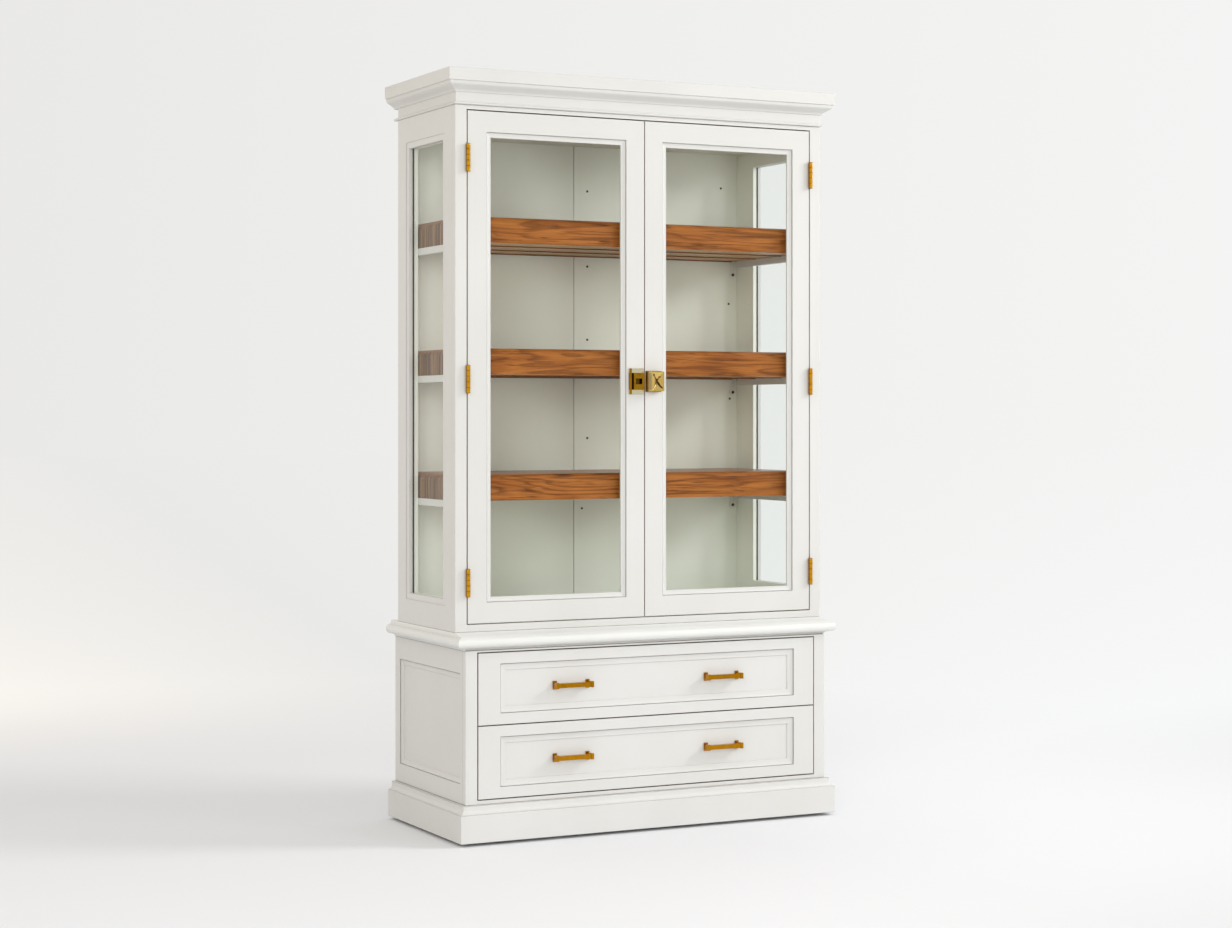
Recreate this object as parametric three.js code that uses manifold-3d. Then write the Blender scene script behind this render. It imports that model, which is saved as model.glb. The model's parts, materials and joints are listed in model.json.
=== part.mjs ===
// China cabinet with two glass doors over two drawers.
// Millimetres, +X to the right along the front, +Y to the back, +Z up, floor at z = 0.
import * as THREE from 'three';
import { mergeVertices } from 'three/addons/utils/BufferGeometryUtils.js';
import Module from 'manifold-3d';

const wasm = await Module();
wasm.setup();

// ---- driving dimensions ----------------------------------------------------------------
const GAP = 0.3; // clearance between pieces that touch
const REVEAL = 1.5; // half of the gap around doors and drawers

const HEIGHT = 2134;
const UPPER_HALF = 588; // half width of the glazed case
const LOWER_HALF = 576; // half width of the drawer case
const UPPER_FACE = -203.5; // front plane of the glazed case
const LOWER_FACE = UPPER_FACE - 44; // front plane of the drawer case
const LOWER_BACK = 270.5;
const UPPER_SIDE_BACK = UPPER_FACE + 423; // where the outer skin of the upper sides stops
const UPPER_BACK = UPPER_FACE + 450;

const PLINTH_BOTTOM = 8.5;
const PLINTH_OUT = 23; // how far the plinth stands out from the drawer case
const LOWER_BOTTOM = 110; // top of the plinth
const LOWER_TOP = 533; // underside of the waist board
const UPPER_BOTTOM = 580.5; // top of the waist board
const UPPER_TOP = 2036; // underside of the cornice

const FRAME_THICK = 22; // face frames and drawer fronts
const DOOR_THICK = 24;
const LOWER_SIDE_THICK = 20;
const UPPER_SIDE_THICK = 30;
const BACK_THICK = 7;
const GLASS_THICK = 4;

const DOOR_HALF = 551.7; // centre of the gap beside the doors
const DOOR_LOW = 602.3;
const DOOR_HIGH = 2022.3;
const DOOR_FLAT = 57; // flat of the stiles and rails
const DOOR_MOULD = 15; // moulding between the flat and the glass

const DRAWER_HALF = 539;
const DRAWER_LEVELS = [122.4, 325.3, 526.6]; // centres of the gaps below, between, above
const DRAWER_MARGIN_X = 66.5; // plain border of a drawer front
const DRAWER_MARGIN_Z = 30.5;
const DRAWER_MOULD = 19;
const DRAWER_WALL = 12;
const DRAWER_DEPTH = 440;

const WINDOW = { y0: UPPER_FACE + 90, y1: UPPER_FACE + 342, z0: 668, z1: 1946 };
const SIDE_PANEL = { y0: UPPER_FACE - 7, y1: UPPER_FACE + 437, z0: 164, z1: 469 };

const SHELF_TOPS = { low: 1014, mid: 1366, high: 1733 };
const SHELF_THICK = 73;
const SHELF_ROUND = 20; // rounded top edge at the front and the ends
const SHELF_FRONT = UPPER_FACE + 32;
const SHELF_END_GAP = 3;
const CLEAT_HEIGHT = 20;
const CLEAT_WIDTH = 17;

const CEILING_LOW = 1992;
const CEILING_HIGH = 2014;
const SEAM_X = -10; // joint between the two back boards

const HINGE_LEVELS = { low: 717, mid: 1279, high: 1890 };
const HINGE_LENGTH = 78;
const HINGE_RADIUS = 6;
const HINGE_AXIS_Y = UPPER_FACE - 6.6;
const KNUCKLES = 5;

const LATCH_Z = 1276;
const PULL_OFFSET = 241; // from the middle of a drawer to each pull
const PULL_SHIFT = -10; // the pair sits slightly to the left
const PULL_LENGTH = 116;

// ---- materials -------------------------------------------------------------------------
const finish = (color, roughness, metalness = 0) => () =>
  new THREE.MeshStandardMaterial({ color, roughness, metalness });
const paint = finish(0xeeeeea, 0.45);
const innerPaint = finish(0xd9dad2, 0.55);
const wood = finish(0x9a5a2a, 0.4);
const drawerWood = finish(0xcfae7d, 0.6);
const brass = finish(0xb8892b, 0.25, 1);
const plastic = finish(0x3a3733, 0.7);
const glass = () =>
  new THREE.MeshStandardMaterial({
    color: 0xe6efec, roughness: 0.03, metalness: 0, transparent: true, opacity: 0.25,
  });

// ---- geometry helpers ------------------------------------------------------------------
function toSolid(geometry) {
  const bare = geometry.index ? geometry.clone() : geometry;
  bare.deleteAttribute('normal');
  bare.deleteAttribute('uv');
  const merged = mergeVertices(bare, 1e-4);
  return new wasm.Manifold(new wasm.Mesh({
    numProp: 3,
    vertProperties: new Float32Array(merged.attributes.position.array),
    triVerts: new Uint32Array(merged.index.array),
  }));
}

function toGeometry(solid) {
  const mesh = solid.getMesh();
  const geometry = new THREE.BufferGeometry();
  geometry.setAttribute('position', new THREE.BufferAttribute(mesh.vertProperties, 3));
  geometry.setIndex(new THREE.BufferAttribute(mesh.triVerts, 1));
  geometry.computeVertexNormals();
  return geometry;
}

const cut = (body, ...tools) =>
  toGeometry(tools.reduce((solid, tool) => solid.subtract(toSolid(tool)), toSolid(body)));

const join = (...pieces) =>
  toGeometry(pieces.slice(1).reduce((solid, piece) => solid.add(toSolid(piece)), toSolid(pieces[0])));

function box(x0, x1, y0, y1, z0, z1) {
  const geometry = new THREE.BoxGeometry(x1 - x0, y1 - y0, z1 - z0);
  return geometry.translate((x0 + x1) / 2, (y0 + y1) / 2, (z0 + z1) / 2);
}

function cylinder(radius, length, axis, x, y, z, sides = 16) {
  const geometry = new THREE.CylinderGeometry(radius, radius, length, sides);
  if (axis === 'z') geometry.rotateX(Math.PI / 2);
  if (axis === 'x') geometry.rotateZ(Math.PI / 2);
  return geometry.translate(x, y, z);
}

// A closed solid through a list of rectangles { u0, u1, v0, v1, w }, w along the axis.
function loft(rects, axis) {
  const place = {
    x: (u, v, w) => [w, u, v],
    y: (u, v, w) => [u, w, v],
    z: (u, v, w) => [u, v, w],
  }[axis];
  const points = rects.flatMap(({ u0, u1, v0, v1, w }) =>
    [[u0, v0], [u1, v0], [u1, v1], [u0, v1]].map(([u, v]) => place(u, v, w)));
  const faces = [[0, 2, 1], [0, 3, 2]];
  for (let level = 0; level + 1 < rects.length; level += 1) {
    const low = 4 * level;
    for (let side = 0; side < 4; side += 1) {
      const next = (side + 1) % 4;
      faces.push([low + side, low + next, low + 4 + next], [low + side, low + 4 + next, low + 4 + side]);
    }
  }
  const top = 4 * (rects.length - 1);
  faces.push([top, top + 1, top + 2], [top, top + 2, top + 3]);
  const forward = rects.at(-1).w > rects[0].w;
  const mirrored = axis === 'y';
  const geometry = new THREE.BufferGeometry();
  geometry.setAttribute('position', new THREE.Float32BufferAttribute(points.flat(), 3));
  geometry.setIndex(faces.flatMap((face) => (forward === mirrored ? [...face].reverse() : face)));
  geometry.computeVertexNormals();
  return geometry;
}

// Points of a quarter round from (0, 0) to (run, rise); hollow bends it the other way.
function quarter(run, rise, steps, hollow = false) {
  return Array.from({ length: steps + 1 }, (_, step) => {
    const angle = (Math.PI / 2) * (step / steps);
    return hollow
      ? [run * (1 - Math.cos(angle)), rise * Math.sin(angle)]
      : [run * Math.sin(angle), rise * (1 - Math.cos(angle))];
  });
}

// Tool for a moulded recess: profile points are [inset from the rectangle, depth].
function recess(rect, profile, surface, inward, axis) {
  const levels = [[0, -2], ...profile].map(([inset, depth]) => ({
    u0: rect.u0 + inset,
    u1: rect.u1 - inset,
    v0: rect.v0 + inset,
    v1: rect.v1 - inset,
    w: surface + inward * depth,
  }));
  return loft(levels, axis);
}

// Step, hollow and flat fillet that run down from a frame to a panel or a pane.
function stickingProfile(width, depth) {
  const step = 1.6;
  const fillet = 3.4;
  const drop = 2.6;
  const curve = quarter(depth - step - drop, width - fillet - 1.2, 5);
  return [
    [0, 0],
    [0.3, step],
    ...curve.map(([down, along]) => [1.2 + along, step + down]),
    [width - 0.5, depth - drop],
    [width, depth],
  ];
}

// A board whose front and side edges follow a moulding: points are [overhang, z].
// A third number in a point sets only the front edge back, for a ledge deeper than the sides'.
function mouldedBoard(profile, halfWidth, front, back) {
  return loft(profile.map(([out, z, ledge = 0]) => ({
    u0: -halfWidth - out,
    u1: halfWidth + out,
    v0: front - out + ledge,
    v1: back,
    w: z,
  })), 'z');
}

// ---- assembly --------------------------------------------------------------------------
const cabinet = new THREE.Group();

function add(name, geometry, material) {
  const mesh = new THREE.Mesh(geometry, material());
  mesh.name = name;
  cabinet.add(mesh);
}

const SIDES = { left: -1, right: 1 };
const mirrorBox = (side, x0, x1, ...rest) =>
  (side < 0 ? box(-x1, -x0, ...rest) : box(x0, x1, ...rest));

function addPlinth() {
  const ease = 1.5;
  const boardTop = 87;
  const fillet = { out: 11, low: 100, high: 110 - ease };
  const cove = quarter(PLINTH_OUT - ease - fillet.out, fillet.low - boardTop, 5);
  const profile = [
    [PLINTH_OUT - ease, PLINTH_BOTTOM],
    [PLINTH_OUT, PLINTH_BOTTOM + ease],
    [PLINTH_OUT, boardTop - ease],
    ...cove.map(([run, rise]) => [PLINTH_OUT - ease - run, boardTop + rise]),
    [fillet.out, fillet.high],
    [fillet.out - ease, fillet.high + ease],
  ];
  const wall = 24;
  const outer = mouldedBoard(profile, LOWER_HALF, LOWER_FACE, LOWER_BACK);
  const inner = box(
    -LOWER_HALF + wall, LOWER_HALF - wall, LOWER_FACE + wall, LOWER_BACK - wall,
    PLINTH_BOTTOM - 5, LOWER_BOTTOM + 5,
  );
  add('plinth', cut(outer, inner), paint);
  const glideRadius = 11;
  const inset = 90;
  const rows = { front: LOWER_FACE + inset, back: LOWER_BACK - inset };
  for (const [side, sign] of Object.entries(SIDES)) {
    for (const [row, y] of Object.entries(rows)) {
      const height = PLINTH_BOTTOM - GAP;
      const x = sign * (LOWER_HALF - 10);
      add(`glide_${row}_${side}`, cylinder(glideRadius, height, 'z', x, y, height / 2), plastic);
    }
  }
}

function addLowerCase() {
  const low = LOWER_BOTTOM + GAP;
  const high = LOWER_TOP - GAP;
  const behindFrame = LOWER_FACE + FRAME_THICK + GAP;
  const inside = LOWER_HALF - LOWER_SIDE_THICK - GAP;
  const opening = box(
    -DRAWER_HALF - REVEAL, DRAWER_HALF + REVEAL, LOWER_FACE - 5, LOWER_FACE + FRAME_THICK + 5,
    DRAWER_LEVELS[0] - REVEAL, DRAWER_LEVELS[2] + REVEAL,
  );
  const frame = box(-LOWER_HALF, LOWER_HALF, LOWER_FACE, LOWER_FACE + FRAME_THICK, low, high);
  add('lower_face_frame', cut(frame, opening), paint);

  const panel = { u0: SIDE_PANEL.y0, u1: SIDE_PANEL.y1, v0: SIDE_PANEL.z0, v1: SIDE_PANEL.z1 };
  for (const [side, sign] of Object.entries(SIDES)) {
    const board = mirrorBox(
      sign, LOWER_HALF - LOWER_SIDE_THICK, LOWER_HALF, behindFrame, LOWER_BACK, low, high,
    );
    const tool = recess(panel, stickingProfile(16, 8), sign * LOWER_HALF, -sign, 'x');
    add(`lower_side_${side}`, cut(board, tool), paint);
  }
  const backFront = LOWER_BACK - BACK_THICK;
  add('lower_back', box(-inside, inside, backFront, LOWER_BACK, low, high), innerPaint);
  const bottomTop = DRAWER_LEVELS[0] - REVEAL - GAP;
  add('lower_bottom', box(-inside, inside, behindFrame, backFront - GAP, low, bottomTop), drawerWood);
  add('dust_panel', box(
    -inside, inside, behindFrame + 2, backFront - GAP, DRAWER_LEVELS[1] - 6, DRAWER_LEVELS[1] + 6,
  ), drawerWood);
}

function addDrawer(name, low, high) {
  const front = { x: DRAWER_HALF - REVEAL, z0: low + REVEAL, z1: high - REVEAL };
  const blank = box(-front.x, front.x, LOWER_FACE, LOWER_FACE + FRAME_THICK, front.z0, front.z1);
  const border = {
    u0: -front.x + DRAWER_MARGIN_X,
    u1: front.x - DRAWER_MARGIN_X,
    v0: front.z0 + DRAWER_MARGIN_Z,
    v1: front.z1 - DRAWER_MARGIN_Z,
  };
  const panelDepth = 9;
  add(`${name}_front`, cut(
    blank, recess(border, stickingProfile(DRAWER_MOULD, panelDepth), LOWER_FACE, 1, 'y'),
  ), paint);

  const half = DRAWER_HALF - 4;
  const y0 = LOWER_FACE + FRAME_THICK + GAP;
  const y1 = y0 + DRAWER_DEPTH;
  const z0 = name === 'drawer_lower' ? low - 0.7 : low + 7;
  const z1 = high - 18;
  const outer = box(-half, half, y0, y1, z0, z1);
  const hollow = box(-half + DRAWER_WALL, half - DRAWER_WALL, y0 - 5, y1 - DRAWER_WALL, z0 - 5, z1 + 5);
  add(`${name}_box`, cut(outer, hollow), drawerWood);
  const clear = DRAWER_WALL + GAP;
  add(`${name}_bottom`, box(
    -half + clear, half - clear, y0, y1 - clear, z0 + 8, z0 + 14,
  ), drawerWood);

  const middle = (front.z0 + front.z1) / 2;
  for (const [side, sign] of Object.entries(SIDES)) {
    const x = sign * PULL_OFFSET + PULL_SHIFT;
    add(`${name}_pull_${side}`, pull(x, LOWER_FACE + panelDepth - GAP, middle), brass);
  }
}

// Square bar pull: end blocks, two posts and upright roses; y is the face it is screwed to.
function pull(x, y, z) {
  const bar = { half: 6.4, centre: y - 21 };
  const block = { half: 8.4, length: 8 };
  const post = { half: 4.5, inset: 7 };
  const rose = { half: 6, rise: 12, thick: 3 };
  const half = PULL_LENGTH / 2;
  const square = (x0, x1, size) =>
    box(x0, x1, bar.centre - size, bar.centre + size, z - size, z + size);
  const stud = (middle, size, rise, front) =>
    box(middle - size, middle + size, front, y, z - rise, z + rise);
  const pieces = [square(x - half + 1, x + half - 1, bar.half)];
  for (const sign of [-1, 1]) {
    const end = x + sign * half;
    const inner = end - sign * block.length;
    const middle = end - sign * post.inset;
    pieces.push(
      square(Math.min(inner, end), Math.max(inner, end), block.half),
      stud(middle, post.half, post.half, bar.centre),
      stud(middle, rose.half, rose.rise, y - rose.thick),
    );
  }
  return join(...pieces);
}

function addWaist() {
  const nose = 30; // overhang of the bullnose beyond the sides of the drawer case
  const frontShift = 8; // its overhang is that much less at the front
  const bull = { out: nose - 13, z: 555.5, run: 13, rise: 13.5 };
  const arc = Array.from({ length: 9 }, (_, step) => {
    const angle = -Math.PI / 2 + (Math.PI * step) / 8;
    return [bull.out + bull.run * Math.cos(angle), bull.z + bull.rise * Math.sin(angle)];
  });
  const cove = quarter(7, bull.out - 3, 4).map(([rise, run]) => [2 + run, LOWER_TOP + 1.5 + rise]);
  const profile = [
    [0, LOWER_TOP],
    [2, LOWER_TOP + 0.5],
    ...cove,
    ...arc,
    [bull.out - 1.5, 570, 1],
    [bull.out - 1.5, 571.5, 3],
    [bull.out - 2.5, 573.5, 12],
    [bull.out - 3.5, 577.5, 40],
    [bull.out - 4.5, UPPER_BOTTOM, 47],
  ];
  add('waist_board', mouldedBoard(
    profile, LOWER_HALF, LOWER_FACE + frontShift, LOWER_BACK,
  ), paint);
}

function addUpperCase() {
  const low = UPPER_BOTTOM + GAP;
  const high = UPPER_TOP - GAP;
  const behindFrame = UPPER_FACE + FRAME_THICK + GAP;
  const inside = UPPER_HALF - UPPER_SIDE_THICK - GAP;
  const frame = box(-UPPER_HALF, UPPER_HALF, UPPER_FACE, UPPER_FACE + FRAME_THICK, low, high);
  const opening = box(
    -DOOR_HALF - REVEAL, DOOR_HALF + REVEAL, UPPER_FACE - 5, UPPER_FACE + FRAME_THICK + 5,
    DOOR_LOW - REVEAL, DOOR_HIGH + REVEAL,
  );
  add('upper_face_frame', cut(frame, opening), paint);

  const mould = { width: 18, depth: 4 };
  const shoulder = 13; // from the outer face to the pane
  const groove = { depth: 12, width: GLASS_THICK + 2 * GAP };
  const outline = (grow) => ({
    u0: WINDOW.y0 - grow, u1: WINDOW.y1 + grow, v0: WINDOW.z0 - grow, v1: WINDOW.z1 + grow,
  });
  for (const [side, sign] of Object.entries(SIDES)) {
    const innerFace = UPPER_HALF - UPPER_SIDE_THICK;
    const board = mirrorBox(sign, innerFace, UPPER_HALF, behindFrame, UPPER_BACK, low, high);
    const step = mirrorBox(
      sign, UPPER_HALF - 15, UPPER_HALF + 5, UPPER_SIDE_BACK, UPPER_BACK + 5, low - 5, high + 5,
    );
    const through = mirrorBox(
      sign, innerFace - 5, UPPER_HALF + 5, WINDOW.y0, WINDOW.y1, WINDOW.z0, WINDOW.z1,
    );
    const seat = mirrorBox(
      sign, UPPER_HALF - shoulder - groove.width, UPPER_HALF - shoulder,
      WINDOW.y0 - groove.depth, WINDOW.y1 + groove.depth,
      WINDOW.z0 - groove.depth, WINDOW.z1 + groove.depth,
    );
    const moulding = recess(
      outline(mould.width), stickingProfile(mould.width, mould.depth), sign * UPPER_HALF, -sign, 'x',
    );
    add(`upper_side_${side}`, cut(board, step, through, seat, moulding), paint);

    const clear = groove.depth - 2;
    const paneFace = UPPER_HALF - shoulder - GAP;
    add(`side_pane_${side}`, mirrorBox(
      sign, paneFace - GLASS_THICK, paneFace,
      WINDOW.y0 - clear, WINDOW.y1 + clear, WINDOW.z0 - clear, WINDOW.z1 + clear,
    ), glass);
  }

  const backFront = UPPER_BACK - BACK_THICK;
  const seam = { gap: 0.2, half: 1.4, depth: 4 };
  const boards = { left: [-inside, SEAM_X - seam.gap], right: [SEAM_X + seam.gap, inside] };
  for (const [side, [x0, x1]] of Object.entries(boards)) {
    const board = box(x0, x1, backFront, UPPER_BACK, low, high);
    const edge = box(
      SEAM_X - seam.half, SEAM_X + seam.half,
      backFront - 5, backFront + seam.depth, low - 5, high + 5,
    );
    add(`back_board_${side}`, cut(board, edge), innerPaint);
  }
  add('ceiling', box(
    -inside, inside, UPPER_FACE + DOOR_THICK + 1, backFront - GAP, CEILING_LOW, CEILING_HIGH,
  ), innerPaint);
}

function addShelves() {
  const innerFace = UPPER_HALF - UPPER_SIDE_THICK;
  const half = innerFace - SHELF_END_GAP;
  const back = UPPER_BACK - BACK_THICK - 3;
  for (const [level, top] of Object.entries(SHELF_TOPS)) {
    const bottom = top - SHELF_THICK;
    const edge = quarter(SHELF_ROUND, SHELF_ROUND, 6, true)
      .map(([run, rise]) => [-run, top - SHELF_ROUND + rise]);
    add(`shelf_${level}`, mouldedBoard([[0, bottom], ...edge], half, SHELF_FRONT, back), wood);
    for (const [side, sign] of Object.entries(SIDES)) {
      add(`shelf_cleat_${level}_${side}`, mirrorBox(
        sign, innerFace - CLEAT_WIDTH, innerFace - GAP, SHELF_FRONT + 20, back - 28,
        bottom - GAP - CLEAT_HEIGHT, bottom - GAP,
      ), innerPaint);
    }
  }
}

function addCornice() {
  const frontShift = 3; // the front overhangs that much more than the sides
  const ogee = Array.from({ length: 9 }, (_, step) => [
    3.2 + 23.3 * THREE.MathUtils.smoothstep(step, 0, 8), 2072 + (20 * step) / 8,
  ]);
  const bead = Array.from({ length: 5 }, (_, step) => {
    const angle = -Math.PI / 2 + (Math.PI * step) / 4;
    return [0.5 + 3.5 * Math.cos(angle), UPPER_TOP + 3.5 + 3.5 * Math.sin(angle)];
  });
  const profile = [
    ...bead,
    [-0.5, UPPER_TOP + 8],
    [-0.5, 2070],
    [3, 2071],
    ...ogee,
    [26.8, 2098],
    [31, 2099],
    [31.5, HEIGHT - 1.5],
    [30, HEIGHT],
  ];
  const wall = 22;
  const outer = mouldedBoard(profile, UPPER_HALF, UPPER_FACE - frontShift, UPPER_BACK - 2);
  const inner = box(
    -UPPER_HALF + wall, UPPER_HALF - wall, UPPER_FACE + wall, UPPER_BACK - wall,
    UPPER_TOP - 5, HEIGHT - 20,
  );
  const steps = Object.values(SIDES).map((sign) => mirrorBox(
    sign, UPPER_HALF - 15, UPPER_HALF + 5, UPPER_SIDE_BACK, UPPER_BACK + 5, UPPER_TOP + 8, 2070,
  ));
  add('cornice', cut(outer, inner, ...steps), paint);
}

function addDoor(side) {
  const sign = SIDES[side];
  const hingeEdge = DOOR_HALF - REVEAL;
  const freeEdge = REVEAL;
  const z0 = DOOR_LOW + REVEAL;
  const z1 = DOOR_HIGH - REVEAL;
  const y0 = UPPER_FACE;
  const y1 = UPPER_FACE + DOOR_THICK;
  const xs = [sign * freeEdge, sign * hingeEdge].sort((a, b) => a - b);
  const inset = (margin) => ({
    u0: xs[0] + margin, u1: xs[1] - margin, v0: z0 + margin, v1: z1 - margin,
  });
  const window = ({ u0, u1, v0, v1 }, near, far) => box(u0, u1, near, far, v0, v1);
  const seatDepth = 13;
  const sight = inset(DOOR_FLAT + DOOR_MOULD);
  const seat = inset(DOOR_FLAT + DOOR_MOULD - 9);
  const moulding = recess(inset(DOOR_FLAT), stickingProfile(DOOR_MOULD, 9), y0, 1, 'y');
  add(`door_${side}`, cut(
    box(xs[0], xs[1], y0, y1, z0, z1),
    window(sight, y0 - 5, y1 + 5),
    window(seat, y0 + seatDepth, y1 + 5),
    moulding,
  ), paint);
  const pane = inset(DOOR_FLAT + DOOR_MOULD - 7);
  add(`door_pane_${side}`, window(
    pane, y0 + seatDepth + GAP, y0 + seatDepth + GAP + GLASS_THICK,
  ), glass);
}

// One butt hinge: the leaf on the case carries the odd knuckles, the door leaf the even ones.
function addHinge(side, level, z) {
  const sign = SIDES[side];
  const pitch = HINGE_LENGTH / KNUCKLES;
  const low = z - HINGE_LENGTH / 2;
  const leafDeep = 20;
  const leaf = (near, far) => mirrorBox(
    sign, near, far, HINGE_AXIS_Y, UPPER_FACE + leafDeep, low, low + HINGE_LENGTH,
  );
  const blanks = {
    case: leaf(DOOR_HALF + 0.35, DOOR_HALF + REVEAL - 0.25),
    door: leaf(DOOR_HALF - REVEAL + 0.25, DOOR_HALF - 0.35),
  };
  const column = (radius, index, grow) => cylinder(
    radius, pitch + grow, 'z', sign * DOOR_HALF, HINGE_AXIS_Y, low + pitch * (index + 0.5), 14,
  );
  for (const [owner, blank] of Object.entries(blanks)) {
    const odd = owner === 'case' ? 0 : 1;
    const own = [];
    const others = [];
    for (let index = 0; index < KNUCKLES; index += 1) {
      if (index % 2 === odd) own.push(column(HINGE_RADIUS, index, -GAP));
      else others.push(column(HINGE_RADIUS + 0.4, index, GAP));
    }
    add(`hinge_${side}_${level}_${owner}`, join(cut(blank, ...others), ...own), brass);
  }
}

function addLatch() {
  const face = UPPER_FACE - GAP;
  const level = (half) => [LATCH_Z - half, LATCH_Z + half];
  const boltHalf = 5.6;
  const slotHalf = 6;
  const caseDepth = 14;
  const knobX = 25;
  const caseBlock = box(3, 47, face - caseDepth, face, ...level(30));
  const slot = box(-5, 40, face - 9.5, face - 3.5, ...level(slotHalf));
  const spindleHole = cylinder(5.4, 20, 'y', knobX, face - 15, LATCH_Z);
  add('latch_case', cut(caseBlock, slot, spindleHole), brass);
  add('latch_bolt', box(4, 38, face - 9.1, face - 3.9, ...level(boltHalf)), brass);

  const knob = { halfX: 20, halfZ: 28, rim: 2.5, depth: 21, hollow: 8 };
  const knobBack = face - caseDepth - GAP;
  const knobFront = knobBack - knob.depth;
  const block = box(
    knobX - knob.halfX, knobX + knob.halfX, knobFront, knobBack, ...level(knob.halfZ),
  );
  const hollowed = {
    u0: knobX - knob.halfX + knob.rim,
    u1: knobX + knob.halfX - knob.rim,
    v0: LATCH_Z - knob.halfZ + knob.rim,
    v1: LATCH_Z + knob.halfZ - knob.rim,
  };
  const slope = [[0, 0], [knob.halfX - 4, knob.hollow]];
  const hollow = recess(hollowed, slope, knobFront, 1, 'y');
  const spindle = cylinder(4.9, 6, 'y', knobX, knobBack + 0.5, LATCH_Z);
  add('latch_knob', join(cut(block, hollow), spindle), brass);

  const plate = { x0: -51, x1: -4, half: 37, front: face - 3 };
  const backing = box(plate.x0, plate.x1, plate.front, face, ...level(plate.half));
  const rib = box(plate.x0, plate.x0 + 7, face - 6, face, ...level(plate.half));
  const staple = box(-41, -6, face - caseDepth + 1.5, face - 2, ...level(24));
  const pocket = box(-30, 0, face - 10.5, plate.front, ...level(slotHalf + 1.5));
  const sight = box(-36, -14, face - 20, face - 4.5, ...level(8)); // the bolt shows through it
  add('latch_keeper', cut(join(backing, rib, staple), pocket, sight), brass);
}

addPlinth();
addLowerCase();
addDrawer('drawer_lower', DRAWER_LEVELS[0], DRAWER_LEVELS[1]);
addDrawer('drawer_upper', DRAWER_LEVELS[1], DRAWER_LEVELS[2]);
addWaist();
addUpperCase();
addShelves();
addCornice();
for (const side of Object.keys(SIDES)) {
  addDoor(side);
  for (const [level, z] of Object.entries(HINGE_LEVELS)) addHinge(side, level, z);
}
addLatch();

export default cabinet;
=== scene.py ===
"""Looks of the china cabinet: materials, small fittings, studio light and camera."""
import json
import math

import bmesh
import bpy
from mathutils import Matrix, Vector


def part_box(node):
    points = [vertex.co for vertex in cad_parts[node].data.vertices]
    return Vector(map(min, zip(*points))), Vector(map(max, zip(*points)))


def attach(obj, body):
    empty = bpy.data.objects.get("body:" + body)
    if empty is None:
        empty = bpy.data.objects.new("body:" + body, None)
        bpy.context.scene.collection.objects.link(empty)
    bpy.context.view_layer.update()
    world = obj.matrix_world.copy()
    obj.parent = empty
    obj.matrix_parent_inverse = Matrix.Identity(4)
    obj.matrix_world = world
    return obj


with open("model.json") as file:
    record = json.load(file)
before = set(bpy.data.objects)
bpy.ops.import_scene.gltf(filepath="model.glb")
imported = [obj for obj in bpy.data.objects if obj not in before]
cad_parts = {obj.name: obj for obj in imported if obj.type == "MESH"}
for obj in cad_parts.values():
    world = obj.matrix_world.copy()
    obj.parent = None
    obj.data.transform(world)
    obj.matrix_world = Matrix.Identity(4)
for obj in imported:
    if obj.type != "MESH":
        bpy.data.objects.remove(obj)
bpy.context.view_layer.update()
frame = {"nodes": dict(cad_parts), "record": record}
nodes = frame["nodes"]
scene = bpy.context.scene


def srgb(r, g, b):
    """Linear colour from 0-255 display values."""
    def channel(v):
        v /= 255
        return v / 12.92 if v <= 0.04045 else ((v + 0.055) / 1.055) ** 2.4
    return (channel(r), channel(g), channel(b), 1.0)


def centre(node):
    """The middle of a CAD node's box."""
    low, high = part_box(node)
    return [(l + h) / 2 for l, h in zip(low, high)]


# ---- colours ---------------------------------------------------------------------------
WHITE_TONES = (srgb(208, 208, 206), srgb(204, 204, 201))
# Paler waist paint: painted light, a lit copy of the white.
WAIST_LIT_TONES = (srgb(219, 220, 218), srgb(216, 217, 214))
# Paler interior paint: painted light, a lit copy of the white for the inside of the case.
INNER_LIT_TONES = (srgb(236, 240, 231), srgb(232, 237, 227))
# Painted shade in corners and creases.
CREASE_SHADE_TONE = srgb(168, 148, 122)
# Painted shade in the deep gaps round doors and drawers; paler along the door rims.
GAP_SHADE_TONE = srgb(92, 46, 18)
DOOR_GAP_SHADE_TONE = srgb(172, 132, 104)
# Painted shade along the valleys of the knob's face.
VALLEY_SHADE_TONE = srgb(52, 26, 12)
# Painted paler sheen on the keeper's back plate.
KEEPER_SHEEN_TONE = srgb(240, 232, 200)

# Woods: light, middle and deep tone, then the tone of knots and flecks.
SHELF_TONES = (srgb(172, 105, 46), srgb(146, 82, 31), srgb(78, 36, 12), srgb(36, 16, 6))
DRAWER_TONES = (srgb(222, 192, 148), srgb(208, 174, 128), srgb(176, 138, 92), srgb(120, 84, 50))
BATTEN_TONES = (srgb(150, 100, 62), srgb(128, 82, 48), srgb(92, 54, 30), srgb(50, 28, 14))
# Paler tan for faces turned down: a painted reflection of the pale back panel.
UNDERSIDE_REFLECTION_TONE = srgb(204, 168, 110)
END_GRAIN = [(0.38, srgb(72, 46, 26)), (0.5, srgb(112, 82, 52)), (0.62, srgb(140, 108, 72))]

# ---- sizes, in metres ------------------------------------------------------------------
PAINT_EDGE = 0.0004  # how sharply one paint gives way to another
CREASE_REACH = 0.010
JOINT_REACH = 0.005
DOOR_RIM = 0.010
KNUCKLES = 5
KEEPER_PLATE_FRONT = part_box("latch_keeper")[1][1] - 0.0034
KEEPER_BOX_HALF = 0.0242
KNOB = centre("latch_knob")
KNOB_HALF = [(h - l) / 2 for l, h in zip(*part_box("latch_knob"))]
BACK_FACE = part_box("back_board_left")[0][1]
WINDOW_LAP = 0.0097  # how far a side pane reaches into its groove

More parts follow.
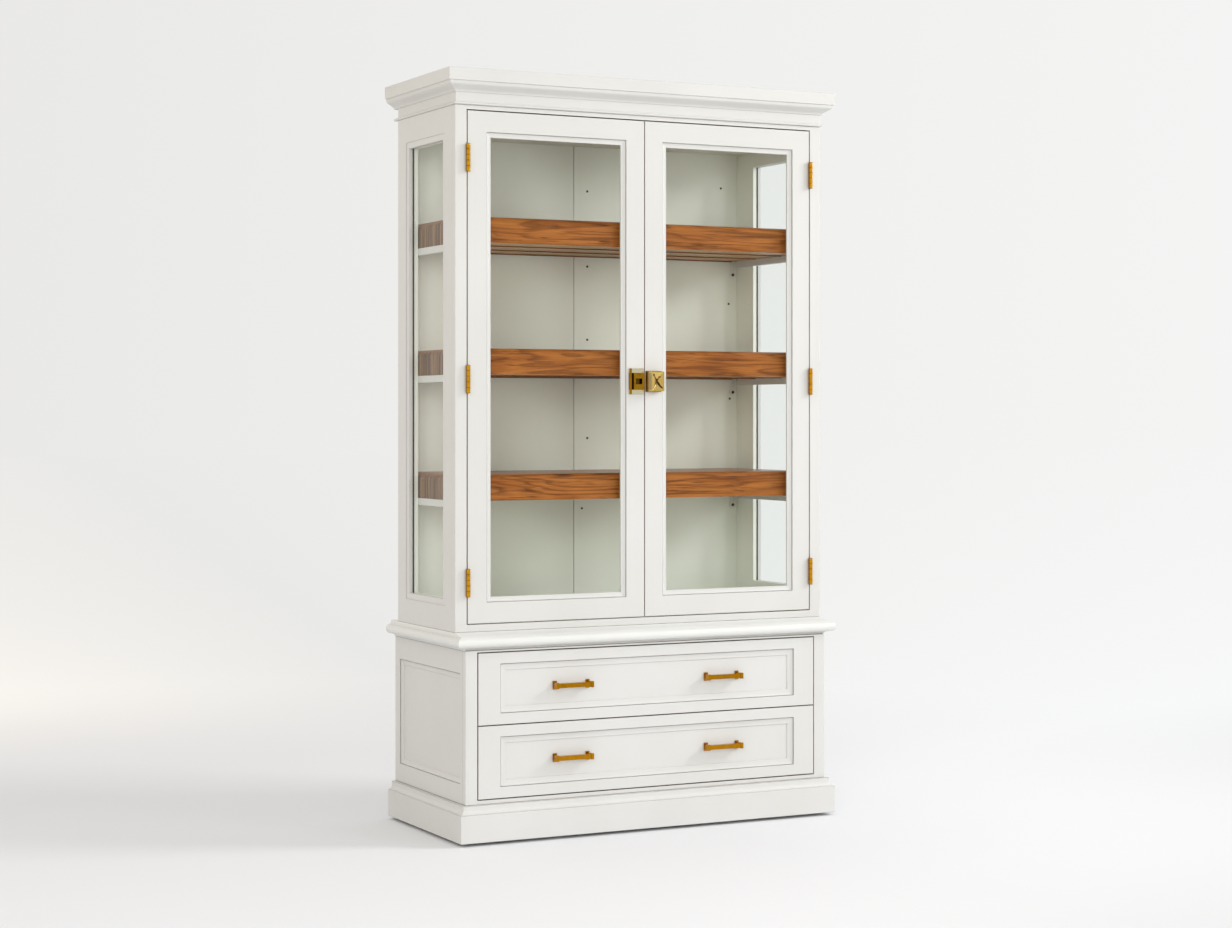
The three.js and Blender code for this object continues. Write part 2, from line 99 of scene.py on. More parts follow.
BATTEN = {"inset": 0.02, "width": 0.007, "depth": 0.0028, "places": (0.10, 0.255, 0.40)}
HANGER = {"drop": 0.042, "half": 0.0065, "foot": 0.011, "neck": 0.014, "thick": 0.0035}
HANGER_INSET = 0.014  # from the end of a shelf
STAND_OFF = 0.0006  # between a hanger and the back boards
SCREW_PROFILE = [(0, 0.0048), (0.0012, 0.0046), (0.0024, 0.0028)]
PIN_PROFILE = [(-0.001, 0.0034), (0.0012, 0.0034), (0.0020, 0.0022)]
PIN_PLACES = (  # across and up
    (0.035, 1.858), (0.035, 1.630), (0.035, 1.408), (0.035, 1.110), (0.017, 0.897),
    (0.500, 1.887), (0.528, 1.527), (0.532, 1.231),
)

STAGE_HALF = 60
FADE_CENTRE = (0.8, 0, 0)  # offset of the floor's own shading
FADE_START, FADE_END = 1.3, 4.2


# ---- shader helpers --------------------------------------------------------------------
class Shader:
    """A material with a Principled node and short ways to add nodes to it."""

    def __init__(self, name):
        self.material = bpy.data.materials.new(name)
        self.material.use_nodes = True
        self.tree = self.material.node_tree
        self.tree.nodes.clear()
        self.output = self.node("ShaderNodeOutputMaterial")
        self.body = self.node("ShaderNodeBsdfPrincipled")
        self.link(self.body.outputs[0], self.output.inputs["Surface"])

    def node(self, kind, **settings):
        node = self.tree.nodes.new(kind)
        for key, value in settings.items():
            setattr(node, key, value)
        return node

    def link(self, source, target):
        self.tree.links.new(source, target)

    def set(self, **values):
        for key, value in values.items():
            self.body.inputs[key.replace("_", " ")].default_value = value

    def position(self, scale=(1, 1, 1), offset=(0, 0, 0)):
        coords = self.node("ShaderNodeTexCoord")
        mapping = self.node("ShaderNodeMapping")
        mapping.inputs["Scale"].default_value = scale
        mapping.inputs["Location"].default_value = offset
        self.link(coords.outputs["Object"], mapping.inputs["Vector"])
        return mapping.outputs["Vector"]

    def noise(self, vector, scale, detail=4.0, roughness=0.5, distortion=0.0):
        noise = self.node("ShaderNodeTexNoise")
        noise.inputs["Scale"].default_value = scale
        noise.inputs["Detail"].default_value = detail
        noise.inputs["Roughness"].default_value = roughness
        noise.inputs["Distortion"].default_value = distortion
        self.link(vector, noise.inputs["Vector"])
        return noise.outputs["Fac"]

    def ramp(self, value, stops, interpolation="LINEAR"):
        ramp = self.node("ShaderNodeValToRGB")
        ramp.color_ramp.interpolation = interpolation
        elements = ramp.color_ramp.elements
        while len(elements) < len(stops):
            elements.new(0.5)
        for element, (place, colour) in zip(elements, stops):
            element.position = place
            element.color = colour if isinstance(colour, tuple) else (colour, colour, colour, 1)
        self.link(value, ramp.inputs["Fac"])
        return ramp.outputs["Color"]

    def range(self, value, low, high, start=0.0, end=1.0):
        node = self.node("ShaderNodeMapRange")
        self.link(value, node.inputs["Value"])
        node.inputs["From Min"].default_value = start
        node.inputs["From Max"].default_value = end
        node.inputs["To Min"].default_value = low
        node.inputs["To Max"].default_value = high
        return node.outputs["Result"]

    def math(self, operation, a, b=0.0):
        node = self.node("ShaderNodeMath", operation=operation)
        for socket, value in zip(node.inputs, (a, b)):
            if isinstance(value, (int, float)):
                socket.default_value = value
            else:
                self.link(value, socket)
        return node.outputs[0]

    def mix(self, factor, a, b, blend="MIX"):
        node = self.node("ShaderNodeMix", data_type="RGBA", blend_type=blend)
        for socket, value in ((node.inputs[0], factor), (node.inputs[6], a), (node.inputs[7], b)):
            if isinstance(value, (int, float, tuple)):
                socket.default_value = value
            else:
                self.link(value, socket)
        return node.outputs[2]

    def axis(self, name, vector=None):
        """One coordinate of a vector, by default of the place on the object."""
        split = self.node("ShaderNodeSeparateXYZ")
        self.link(vector or self.position(), split.inputs[0])
        return split.outputs[name]

    def facing(self, name):
        """One coordinate of the surface normal."""
        return self.axis(name, self.node("ShaderNodeNewGeometry").outputs["Normal"])

    def openness(self, reach, own_surface):
        """0 where other surfaces crowd within reach, 1 in the open."""
        occlusion = self.node("ShaderNodeAmbientOcclusion", samples=6, only_local=own_surface)
        occlusion.inputs["Distance"].default_value = reach
        return occlusion.outputs["AO"]

    def both(self, *masks):
        """The product of masks."""
        product = masks[0]
        for mask in masks[1:]:
            product = self.math("MULTIPLY", product, mask)
        return product

    def rim(self, bounds, width):
        """1 along the outline of a board in the XZ plane, 0 further in."""
        low, high = bounds
        gaps = []
        for name, index in (("X", 0), ("Z", 2)):
            middle, half = (low[index] + high[index]) / 2, (high[index] - low[index]) / 2
            offset = self.math("ABSOLUTE", self.math("SUBTRACT", self.axis(name), middle))
            gaps.append(self.math("SUBTRACT", half, offset))
        return self.range(self.math("MINIMUM", *gaps), 1.0, 0.0, width, width * 1.4)

    def bump(self, height, strength, distance):
        bump = self.node("ShaderNodeBump")
        bump.inputs["Strength"].default_value = strength
        bump.inputs["Distance"].default_value = distance
        self.link(height, bump.inputs["Height"])
        self.link(bump.outputs["Normal"], self.body.inputs["Normal"])

    def colour(self, socket):
        self.link(socket, self.body.inputs["Base Color"])

    def rough(self, socket):
        self.link(socket, self.body.inputs["Roughness"])


def painted(name, light, dark, roughness, gaps=True, inner_side=None, door=None, outer_back=None):
    """Satin lacquer: faint cloudiness, fine spray texture, painted shade in corners.

    gaps paints shade into the deep joints around doors and drawers, for a door only along its rim.
    Surfaces nearer the middle than inner_side carry the paler interior paint, painted
    light inside the case; surfaces behind outer_back carry the outside colour.
    """
    s = Shader(name)
    cloud = s.noise(s.position(), 3.0, 3.0)
    tone = s.mix(s.range(cloud, 0.0, 1.0, 0.35, 0.65), light, dark)
    # Interior paint: painted light, paler inside the case.
    if inner_side:
        reach = s.math("ABSOLUTE", s.axis("X"))
        inside = s.range(reach, 1.0, 0.0, inner_side, inner_side + PAINT_EDGE)
        tone = s.mix(inside, tone, INNER_LIT_TONES[0])
    if outer_back:
        behind = s.range(s.axis("Y"), 0.0, 1.0, outer_back - PAINT_EDGE, outer_back)
        tone = s.mix(behind, tone, WHITE_TONES[0])
    # Painted shade in corners and creases.
    crease = s.range(s.openness(CREASE_REACH, not gaps), 0.22, 0.0, 0.25, 0.8)
    tone = s.mix(crease, tone, CREASE_SHADE_TONE)
    # Painted shade in the deep gaps, for a door only along its rim.
    if gaps:
        deep = s.range(s.openness(JOINT_REACH, False), 0.97, 0.0, 0.12, 0.56)
        gap_shade = GAP_SHADE_TONE
        if door:
            deep = s.both(deep, s.rim(door, DOOR_RIM), 0.85)
            gap_shade = DOOR_GAP_SHADE_TONE
        tone = s.mix(deep, tone, gap_shade)
    s.colour(tone)
    grain = s.noise(s.position(), 60.0, 4.0)
    spray = s.noise(s.position(), 900.0, 2.0)
    s.rough(s.range(grain, roughness - 0.05, roughness + 0.06, 0.3, 0.7))
    s.set(IOR=1.48, Specular_IOR_Level=0.45)
    height = s.math("ADD", s.math("MULTIPLY", grain, 0.7), s.math("MULTIPLY", spray, 0.3))
    s.bump(height, 0.12, 0.0006)
    return s.material


def stretched(axis, along, across):
    """Noise scales that run a pattern along one axis."""
    return tuple(along if name == axis else across for name in "xyz")


def grained_wood(name, tones, axis, seed, gloss=0.3, knots=0.8, contrast=1.0, underside_reflection=None):
    """Lacquered wood: growth lines, fine fibres, dark flecks and knots along one axis.

    A board given a reflection tone shows it on faces turned down, as a painted reflection
    of the pale back panel, and end grain on its two ends.
    """
    s = Shader(name)
    light, middle, deep, knot = tones
    place = (seed, seed * 1.7, seed * 0.6)
    patch = s.noise(s.position(stretched(axis, 1.4, 9.0), place), 1.6, 4.0, 0.6, 0.6)
    base = s.ramp(patch, [(0.32, middle), (0.52, light), (0.72, middle)])
    warp = s.noise(s.position(stretched(axis, 0.7, 9.0), place), 1.7, 2.0, 0.5, 0.15)
    rings = s.math("FRACT", s.math("MULTIPLY", warp, 14.0))
    line = s.ramp(rings, [(0.0, 0.0), (0.42, 0.12), (0.78, 1.0), (0.86, 0.35), (1.0, 0.0)])
    base = s.mix(s.math("MULTIPLY", line, 0.62 * contrast), base, deep)
    fibre = s.noise(s.position(stretched(axis, 2.4, 84.0), place), 2.6, 6.0, 0.75, 0.1)
    base = s.mix(s.range(fibre, 0.0, 0.9 * contrast, 0.50, 0.68), base, deep)
    fleck = s.noise(s.position(stretched(axis, 6.0, 80.0), place[::-1]), 2.2, 3.0, 0.65, 0.4)
    base = s.mix(s.range(fleck, 0.0, 0.85 * contrast, 0.63, 0.70), base, knot)
    bright = s.noise(s.position(stretched(axis, 2.0, 70.0), place[::-1]), 3.1, 3.0, 0.6)
    base = s.mix(s.range(bright, 0.0, 0.35, 0.58, 0.80), base, light)
    smudge = s.noise(s.position(stretched(axis, 3.0, 14.0), place), 1.9, 4.0, 0.62, 1.0)
    base = s.mix(s.range(smudge, 0.0, 0.8 * contrast, 0.62, 0.76), base, deep)
    cells = s.node("ShaderNodeTexVoronoi")
    cells.inputs["Scale"].default_value = 1.0
    s.link(s.position(stretched(axis, 4.2, 17.0), place), cells.inputs["Vector"])
    spot = s.range(cells.outputs["Distance"], 1.0, 0.0, 0.05, 0.17)
    base = s.mix(s.math("MULTIPLY", spot, knots), base, knot)
    if underside_reflection:
        # Faces turned down take a paler tan: a painted reflection of the pale back panel.
        below = s.range(s.facing("Z"), 1.0, 0.0, -0.9, -0.7)
        base = s.mix(below, base, s.mix(0.25, underside_reflection, base))
        end = s.range(s.math("ABSOLUTE", s.facing("X")), 0.0, 1.0, 0.6, 0.9)
        stave = s.noise(s.position((1.0, 62.0, 1.5), place), 1.6, 2.0, 0.6, 0.1)
        base = s.mix(end, base, s.ramp(stave, END_GRAIN))
    s.rough(s.range(fibre, gloss - 0.05, gloss + 0.14, 0.3, 0.7))
    s.colour(base)
    s.set(IOR=1.35, Specular_IOR_Level=0.25, Coat_Weight=0.2, Coat_Roughness=0.1, Coat_IOR=1.35)
    height = s.math("ADD", s.math("MULTIPLY", line, 0.35), s.math("MULTIPLY", fibre, 0.65))
    s.bump(s.math("SUBTRACT", 1.0, height), 0.18, 0.0006)
    return s.material


def add_knob_valley_shade_and_sheen(s, colour):
    """Painted shade along the diagonal valleys of the knob's hollowed face; a paler side towards
    -X, a painted reflection with less metal.
    """
    half_x, _, half_z = KNOB_HALF
    local = s.position(offset=(-KNOB[0], 0, -KNOB[2]))
    across = s.math("DIVIDE", s.math("ABSOLUTE", s.axis("X", local)), half_x)
    upright = s.math("DIVIDE", s.math("ABSOLUTE", s.axis("Z", local)), half_z)
    off_line = s.math("ABSOLUTE", s.math("SUBTRACT", across, upright))
    # Painted shade along the diagonal valleys, with a width varied by noise.
    patch = s.noise(s.position(), 95.0, 3.0)
    reach = s.math("ADD", off_line, s.range(patch, -0.26, 0.22, 0.3, 0.7))
    inside = s.range(s.math("MAXIMUM", across, upright), 1.0, 0.0, 0.66, 0.86)
    dark = s.both(s.range(reach, 0.95, 0.0, 0.03, 0.13), inside)
    colour = s.mix(dark, colour, VALLEY_SHADE_TONE)
    # Painted reflection: the side towards -X paler, with less metal.
    flank = s.range(s.axis("X", local), 1.0, 0.0, 0.0004 - half_x, 0.0010 - half_x)
    s.link(s.range(flank, 1.0, 0.45), s.body.inputs["Metallic"])
    return s.mix(s.both(flank, 0.8), colour, srgb(236, 222, 170))


def add_keeper_plate(s, colour):
    """Painted paler sheen on the keeper's back plate, painted shadow where its box stands on the
    plate.
    """
    edge = KEEPER_PLATE_FRONT
    behind = s.range(s.axis("Y"), 0.0, 0.85, edge - 0.0002, edge + 0.0002)
    height = s.math("ABSOLUTE", s.math("SUBTRACT", s.axis("Z"), KNOB[2]))
    clear = s.range(height, 0.0, 1.0, KEEPER_BOX_HALF - 0.0003, KEEPER_BOX_HALF + 0.0003)
    # Painted sheen on the plate beside the box, painted shadow where the box stands.
    colour = s.mix(s.both(behind, clear), colour, KEEPER_SHEEN_TONE)
    return s.mix(s.both(behind, s.math("SUBTRACT", 1.0, clear)), colour, srgb(62, 44, 12))


def add_knuckles(s, colour, level):
    """Dark rings at the joints of a hinge barrel, and painted shade on its side towards -X."""
    low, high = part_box(f"hinge_left_{level}_case")
    pitch = (high[2] - low[2]) / KNUCKLES
    turn = s.math("DIVIDE", s.math("SUBTRACT", s.axis("Z"), low[2]), pitch)
    ring = s.range(s.math("PINGPONG", turn, 0.5), 0.8, 0.0, 0.03, 0.10)
    colour = s.mix(ring, colour, srgb(110, 60, 10))
    # Painted shade on the side towards -X.
    return s.mix(s.range(s.facing("X"), 0.7, 0.0, -0.98, -0.60), colour, srgb(92, 40, 8))


def polished_brass(name, bright, roughness, tarnish=0.5, detail=None, *settings):
    """Lacquered brass: fine brushing, slight tarnish in patches, and painted shade in the corners.

    detail is one of the functions above, called with the settings it needs.
    """
    s = Shader(name)
    cloud = s.noise(s.position(), 60.0, 5.0, 0.6)
    dull = tuple(c * k for c, k in zip(bright, (0.58, 0.48, 0.30))) + (1.0,)
    colour = s.mix(s.range(cloud, 0.0, tarnish, 0.45, 0.78), bright, dull)
    # Painted shade in corners and pockets.
    corner = s.range(s.openness(0.006, True), 0.75, 0.0, 0.2, 0.8)
    colour = s.mix(corner, colour, srgb(60, 30, 8))
    s.set(Metallic=1.0, Coat_Weight=0.12, Coat_Roughness=0.06)
    if detail:
        colour = detail(s, colour, *settings)
    s.colour(colour)
    brushed = s.noise(s.position((260.0, 260.0, 12.0)), 3.0, 3.0)
    s.rough(s.range(brushed, roughness - 0.05, roughness + 0.07, 0.3, 0.7))
    s.bump(brushed, 0.05, 0.0002)
    return s.material


def window_glass(name, tint, shine_share):
    """Clear pane: what is behind shows through a faint tint, under a sharp reflection."""
    s = Shader(name)
    s.tree.nodes.remove(s.body)
    clear = s.node("ShaderNodeBsdfTransparent")
    clear.inputs["Color"].default_value = tint
    shine = s.node("ShaderNodeBsdfGlossy")
    shine.inputs["Roughness"].default_value = 0.012
    fresnel = s.node("ShaderNodeFresnel")
    fresnel.inputs["IOR"].default_value = 1.48
    geometry = s.node("ShaderNodeNewGeometry")
    entering = s.math("SUBTRACT", 1.0, geometry.outputs["Backfacing"])
    slanted = s.math("MAXIMUM", s.math("SUBTRACT", fresnel.outputs[0], 0.034), 0.0)
    share = s.math("MULTIPLY", s.math("MULTIPLY", slanted, entering), shine_share)
    mix = s.node("ShaderNodeMixShader")
    s.link(share, mix.inputs[0])
    s.link(clear.outputs[0], mix.inputs[1])
    s.link(shine.outputs[0], mix.inputs[2])
    s.link(mix.outputs[0], s.output.inputs["Surface"])
    return s.material


def plain(name, colour, roughness, scale=200.0, depth=0.0004, metallic=0.0):
    """A finish with fine mottling in its colour, gloss and surface."""
    s = Shader(name)
    mottle = s.noise(s.position(), scale, 4.0)
    darker = tuple(c * 0.8 for c in colour[:3]) + (1.0,)
    s.colour(s.mix(s.range(mottle, 0.0, 1.0, 0.3, 0.7), colour, darker))
    s.rough(s.range(mottle, roughness - 0.05, roughness + 0.08, 0.3, 0.7))
    s.set(Metallic=metallic)
    s.bump(mottle, 0.2, depth)
    return s.material


# ---- materials -------------------------------------------------------------------------
WHITE = painted("white_paint", *WHITE_TONES, 0.42)
# Paler waist paint: painted light.
WAIST_LIT_WHITE = painted("waist_lit_paint", *WAIST_LIT_TONES, 0.42)
BOARD_WHITE = painted("board_paint", *WHITE_TONES, 0.42, gaps=False)
SIDE_WHITE = painted(
    "side_paint", *WHITE_TONES, 0.42, gaps=False, inner_side=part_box("side_pane_right")[0][0],
)
# Paler interior paint for the inside and the back boards: painted light inside the case.
INNER = painted("inner_paint", *INNER_LIT_TONES, 0.5, gaps=False)
BACK = {
    level: painted(
        f"{level}_back_paint", *INNER_LIT_TONES, 0.5, gaps=False,
        outer_back=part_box(node)[1][1] - 0.0002,
    )
    for level, node in (("upper", "back_board_left"), ("lower", "lower_back"))
}
DOOR_WHITE = {
    side: painted(f"{side}_door_paint", *WHITE_TONES, 0.42, door=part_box(f"door_{side}"))
    for side in ("left", "right")
}
SHELF_WOOD = {
    level: grained_wood(f"shelf_wood_{level}", SHELF_TONES, "x", seed, underside_reflection=UNDERSIDE_REFLECTION_TONE)
    for level, seed in (("low", 3.1), ("mid", 11.4), ("high", 23.8))
}
DRAWER_WOOD = grained_wood("drawer_wood", DRAWER_TONES, "x", 41.0, 0.5, knots=0.1, contrast=0.5)
BATTEN_WOOD = grained_wood("batten_wood", BATTEN_TONES, "x", 5.0, 0.4, knots=0.0)
BRASS = polished_brass("brass", srgb(216, 154, 10), 0.18)
PULL_BRASS = polished_brass("pull_brass", srgb(192, 132, 2), 0.2)
LATCH_BRASS = polished_brass("latch_brass", srgb(186, 138, 26), 0.1, 0.6)
KEEPER_BRASS = polished_brass("keeper_brass", srgb(176, 128, 22), 0.1, 0.7, add_keeper_plate)
KNOB_BRASS = polished_brass("knob_brass", srgb(222, 190, 108), 0.07, 0.2, add_knob_valley_shade_and_sheen)
HINGE_BRASS = {
    level: polished_brass(
        f"hinge_brass_{level}", srgb(236, 174, 20), 0.16, 0.6, add_knuckles, level,
    )
    for level in ("low", "mid", "high")
}
DARK_STEEL = plain("dark_steel", srgb(92, 84, 74), 0.35, metallic=1.0)
PLATED = plain("plated_steel", srgb(238, 239, 233), 0.4, metallic=0.2)
RUBBER = plain("glide_plastic", srgb(58, 54, 50), 0.7)
GLASS = window_glass("pane_glass", (0.983, 0.995, 0.989, 1.0), 1.75)
SIDE_GLASS = window_glass("side_glass", (0.988, 0.995, 0.990, 1.0), 0.9)


# ---- mesh helpers ----------------------------------------------------------------------
def finish_piece(name, mesh, material, body, bevel=0.0, smooth=False):
    obj = bpy.data.objects.new(name, mesh)
    scene.collection.objects.link(obj)
    mesh.materials.append(material)
    if smooth:
        for polygon in mesh.polygons:
            polygon.use_smooth = True
    if bevel:
        edges = obj.modifiers.new("edges", "BEVEL")
        edges.width = bevel
        edges.segments = 2
        edges.limit_method = "ANGLE"
        edges.harden_normals = True
        for polygon in mesh.polygons:
            polygon.use_smooth = True
    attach(obj, body)
    return obj


def block(low, high):
    """A box as a bmesh."""
    mesh = bmesh.new()
    size = [h - l for l, h in zip(low, high)]
    middle = [(l + h) / 2 for l, h in zip(low, high)]
    matrix = Matrix.Translation(middle) @ Matrix.Diagonal((*size, 1))
    bmesh.ops.create_cube(mesh, size=1, matrix=matrix)
    return mesh


def lathe(profile, centre, axis, steps=24):
    """A turned solid: profile points are (along the axis, radius)."""
    mesh = bmesh.new()
    turn = Vector((0, 0, 1)).rotation_difference(Vector(axis)).to_matrix()
    rings = []
    for along, radius in profile:
        ring = []
        for step in range(steps):
            angle = 2 * math.pi * step / steps
            point = Vector((radius * math.cos(angle), radius * math.sin(angle), along))
            ring.append(mesh.verts.new(turn @ point + Vector(centre)))
        rings.append(ring)
    for below, above in zip(rings, rings[1:]):
        for step in range(steps):
            after = (step + 1) % steps
            mesh.faces.new((below[step], below[after], above[after], above[step]))
    mesh.faces.new(list(reversed(rings[0])))
    mesh.faces.new(rings[-1])
    return mesh


def prism(outline, front, back):
    """A plate in the XZ plane: outline points are (x, z), between two y values."""
    mesh = bmesh.new()
    near = [mesh.verts.new((x, front, z)) for x, z in outline]
    far = [mesh.verts.new((x, back, z)) for x, z in outline]
    mesh.faces.new(near)
    mesh.faces.new(list(reversed(far)))
    for index in range(len(outline)):
        after = (index + 1) % len(outline)
        mesh.faces.new((near[after], near[index], far[index], far[after]))
    bmesh.ops.recalc_face_normals(mesh, faces=mesh.faces)
    return mesh


def to_mesh(name, *parts):
    """One mesh from several bmeshes."""
    mesh = bpy.data.meshes.new(name)
    whole = bmesh.new()
    for part in parts:
        piece = bpy.data.meshes.new("part")
        part.to_mesh(piece)
        part.free()
        whole.from_mesh(piece)
        bpy.data.meshes.remove(piece)
    whole.to_mesh(mesh)
    whole.free()
    return mesh


# ---- finishes of the CAD nodes ---------------------------------------------------------
def dress(name, material, width=0.0, segments=2):
    obj = nodes[name]
    obj.data.materials.clear()
    obj.data.materials.append(material)
    obj.modifiers.clear()
    if width:
        weld = obj.modifiers.new("weld", "WELD")
        weld.merge_threshold = 0.00002
        edges = obj.modifiers.new("edges", "BEVEL")
        edges.width = width
        edges.segments = segments
        edges.limit_method = "ANGLE"
        edges.angle_limit = math.radians(28)
        edges.harden_normals = True


EDGE = {"white_paint": 0.0012, "inner_paint": 0.0008, "brass": 0.0006, "drawer_wood": 0.001}
FINISH = {
    "white_paint": WHITE,
    "inner_paint": INNER,
    "drawer_wood": DRAWER_WOOD,
    "brass": BRASS,
    "glass": GLASS,
    "glide": RUBBER,
}
for entry in frame["record"]["subparts"]:
    name, slot = entry["node"], entry["material_slot"]
    if slot == "shelf_wood":
        dress(name, SHELF_WOOD[name.rsplit("_", 1)[1]], 0.0015)
    else:
        dress(name, FINISH[slot], EDGE.get(slot, 0.0))
for name in nodes:
    if "_pull_" in name:
        dress(name, PULL_BRASS, 0.0006)
    elif name in ("door_left", "door_right"):
        dress(name, DOOR_WHITE[name[5:]], 0.0012)
    elif name.startswith("back_board"):
        dress(name, BACK["upper"], 0.0008)
    elif name == "lower_back":
        dress(name, BACK["lower"], 0.0008)
    elif name.startswith("side_pane"):
        dress(name, SIDE_GLASS)
    elif name == "waist_board":
        dress(name, WAIST_LIT_WHITE, 0.0012)
    elif name.startswith("upper_side"):
        dress(name, SIDE_WHITE, 0.0012)
    elif name.startswith("shelf_cleat"):
        dress(name, BOARD_WHITE, 0.0008)
    elif name.startswith("hinge"):
        dress(name, HINGE_BRASS[name.split("_")[2]], 0.0006)
for piece in ("case", "bolt"):
    dress(f"latch_{piece}", LATCH_BRASS, 0.0006)
dress("latch_keeper", KEEPER_BRASS, 0.0006)
dress("latch_knob", KNOB_BRASS, 0.0006)


# ---- small fittings --------------------------------------------------------------------
def add_shelf_battens(level):
    """Thin battens that stiffen a shelf from below."""
    low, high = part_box(f"shelf_{level}")
    left, right = low[0] + BATTEN["inset"], high[0] - BATTEN["inset"]
    foot, top = low[2] - BATTEN["depth"], low[2] - 0.0002
    for number, reach in enumerate(BATTEN["places"], start=1):
        y = low[1] + reach
        batten = block((left, y, foot), (right, y + BATTEN["width"], top))
        finish_piece(
            f"shelf_{level}_batten_{number}", to_mesh("batten", batten), BATTEN_WOOD,
            "case", 0.0006,
        )


def hanger_outline(x, foot, top):
    """A strap that ends in a round foot, in the XZ plane."""
    half, radius, neck = HANGER["half"], HANGER["foot"], foot + HANGER["neck"]
    turns = [math.pi * (0.25 - step / 8) for step in range(13)]
    disc = [(radius * math.cos(turn), foot + radius * math.sin(turn)) for turn in turns]
    outline = [(-half, top), (half, top), (half, neck), *disc, (-half, neck)]
    return [(x + u, v) for u, v in outline]


def add_shelf_hanger(level, side, sign):
    """A small plated hanger with a screw, down from a rear corner of a shelf."""
    low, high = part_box(f"shelf_{level}")
    x = sign * (high[0] - HANGER_INSET)
    back = BACK_FACE - STAND_OFF
    front = back - HANGER["thick"]
    foot = low[2] - HANGER["drop"]
    plate = prism(hanger_outline(x, foot, low[2] - 0.0005), front, back)
    screw = lathe(SCREW_PROFILE, (x, front, foot), (0, -1, 0))
    finish_piece(
        f"hanger_{level}_{side}", to_mesh("hanger", plate), PLATED, "case", 0.0006,
    )
    finish_piece(
        f"hanger_screw_{level}_{side}", to_mesh("screw", screw), DARK_STEEL, "case",
    )


def add_back_pins():
    """Pin heads in the back boards."""
    for number, (x, z) in enumerate(PIN_PLACES, start=1):
        head = lathe(PIN_PROFILE, (x, BACK_FACE, z), (0, -1, 0))
        finish_piece(f"back_pin_{number}", to_mesh("pin", head), DARK_STEEL, "case")


def add_window_gap_shade_strip(side):
    """A black strip round the rear edge of a side pane, where it enters its groove: painted shade
    of the gap there.
    """
    low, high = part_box(f"side_pane_{side}")
    rear = high[1] - WINDOW_LAP
    # A dark strip put in for the shade in the gap behind the pane.
    strip = block(
        (low[0] - 0.00025, rear - 0.0010, low[2] + WINDOW_LAP),
        (high[0] + 0.00025, rear - 0.0002, high[2] - WINDOW_LAP),
    )
    finish_piece(f"window_gap_shade_{side}", to_mesh("gap_shade_strip", strip), RUBBER, "case")


for level in SHELF_WOOD:
    add_shelf_battens(level)
for level in SHELF_WOOD:
    add_shelf_hanger(level, "left", -1)
    add_shelf_hanger(level, "right", 1)
add_back_pins()
add_window_gap_shade_strip("left")
add_window_gap_shade_strip("right")


# ---- stage, light and camera -----------------------------------------------------------
def studio_glow(s, vector):
    """The studio's brightness in a direction: dimmer and warmer to the left, dimmer in front."""
    split = s.node("ShaderNodeSeparateXYZ")
    s.link(vector, split.inputs[0])
    across = s.ramp(s.range(split.outputs["X"], 0.0, 1.0, -1.0, 1.0), [
        (0.0, (1.02, 0.955, 0.87, 1)),
        (0.35, (0.98, 0.94, 0.885, 1)),
        (0.61, (0.82, 0.815, 0.80, 1)),
        (0.83, (0.905, 0.905, 0.90, 1)),
        (1.0, (0.95, 0.955, 0.96, 1)),
    ])
    along = s.ramp(s.range(split.outputs["Y"], 0.0, 1.0, -1.0, 1.0), [
        (0.0, (0.76, 0.76, 0.76, 1)),
        (0.5, (0.90, 0.90, 0.90, 1)),
        (0.7, (1.0, 1.0, 1.0, 1)),
    ])
    return s.mix(1.0, across, along, "MULTIPLY")


def stage_material():
    """Pale floor that melts into the studio's glow away from the cabinet."""
    s = Shader("studio_floor")
    cloud = s.noise(s.position(), 0.8, 2.0)
    s.colour(s.mix(cloud, srgb(229, 230, 233), srgb(226, 227, 230)))
    s.set(Roughness=0.85, Specular_IOR_Level=0.1)
    flat = s.position((1, 1, 0))
    length = s.node("ShaderNodeVectorMath", operation="LENGTH")
    s.link(s.position((1, 1, 0), FADE_CENTRE), length.inputs[0])
    heading = s.node("ShaderNodeVectorMath", operation="NORMALIZE")
    s.link(flat, heading.inputs[0])
    glow = s.node("ShaderNodeEmission")
    s.link(studio_glow(s, heading.outputs[0]), glow.inputs["Color"])
    fade = s.node("ShaderNodeMapRange", interpolation_type="SMOOTHSTEP")
    s.link(length.outputs["Value"], fade.inputs["Value"])
    fade.inputs["From Min"].default_value = FADE_START
    fade.inputs["From Max"].default_value = FADE_END
    mix = s.node("ShaderNodeMixShader")
    s.link(fade.outputs["Result"], mix.inputs[0])
    s.link(s.body.outputs[0], mix.inputs[1])
    s.link(glow.outputs[0], mix.inputs[2])
    s.link(mix.outputs[0], s.output.inputs["Surface"])
    return s.material


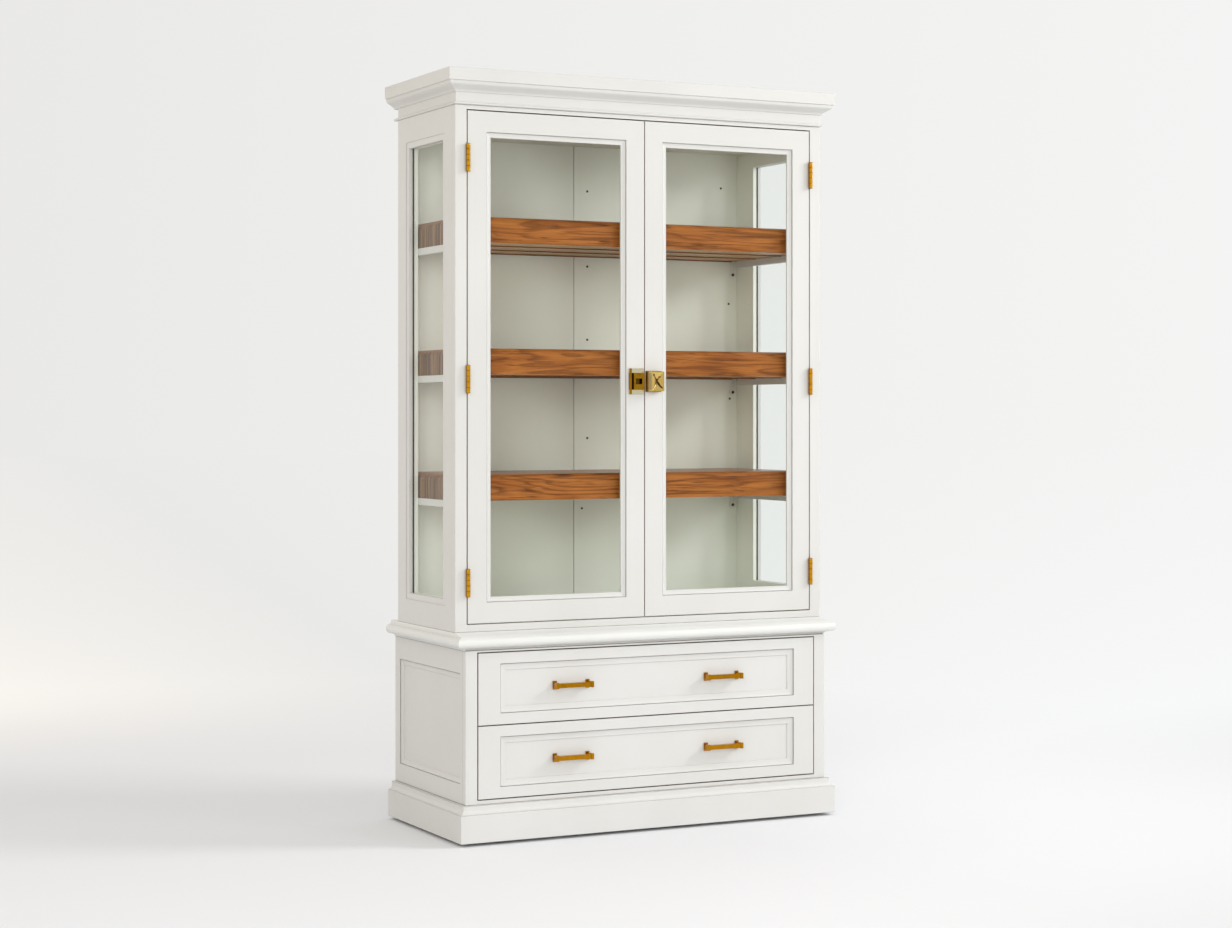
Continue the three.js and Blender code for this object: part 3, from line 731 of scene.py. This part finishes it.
def add_stage():
    mesh = bmesh.new()
    bmesh.ops.create_grid(mesh, x_segments=8, y_segments=8, size=STAGE_HALF)
    floor = bpy.data.objects.new("studio_floor", to_mesh("studio_floor", mesh))
    floor.data.materials.append(stage_material())
    scene.collection.objects.link(floor)


def add_light(name, place, target, size, power, colour, glossy=True):
    lamp = bpy.data.lights.new(name, "AREA")
    lamp.shape = "RECTANGLE"
    lamp.size, lamp.size_y = size
    lamp.energy = power
    lamp.color = colour
    obj = bpy.data.objects.new(name, lamp)
    obj.location = place
    obj.rotation_euler = (Vector(target) - Vector(place)).to_track_quat("-Z", "Y").to_euler()
    obj.visible_glossy = glossy
    scene.collection.objects.link(obj)


class World(Shader):
    """The studio's glow as the world, with the same short ways to add nodes."""

    def __init__(self):
        world = bpy.data.worlds.new("studio")
        world.use_nodes = True
        scene.world = world
        self.tree = world.node_tree
        self.tree.nodes.clear()
        coords = self.node("ShaderNodeTexCoord")
        background = self.node("ShaderNodeBackground")
        output = self.node("ShaderNodeOutputWorld")
        self.link(studio_glow(self, coords.outputs["Generated"]), background.inputs["Color"])
        self.link(background.outputs[0], output.inputs["Surface"])


add_stage()
World()
add_light("key", (4.3, -2.2, 3.4), (0, 0, 1.0), (1.6, 1.6), 138, (1.0, 1.0, 1.0))
add_light("fill", (-3.6, -5.6, 2.4), (0, 0, 1.2), (2.6, 2.6), 110, (1.0, 0.99, 0.97), glossy=False)
add_light("front", (0.4, -7.0, 1.2), (0, 0, 1.0), (2.6, 2.6), 62, (1.0, 0.995, 0.98), glossy=False)
add_light(
    "front_right", (3.3, -6.2, 2.6), (0, 0, 1.2), (1.2, 1.2), 42, (1.0, 0.995, 0.98), glossy=False,
)

camera_data = bpy.data.cameras.new("camera")
camera_data.lens = 69.84
camera_data.sensor_width = 36
camera_data.shift_y = -0.0404
camera = bpy.data.objects.new("camera", camera_data)
camera.location = (-3.1712, -6.2651, 1.1821)
camera.rotation_euler = (math.pi / 2, 0, -math.radians(26.9313))
scene.collection.objects.link(camera)
scene.camera = camera
scene.view_settings.view_transform = "Standard"
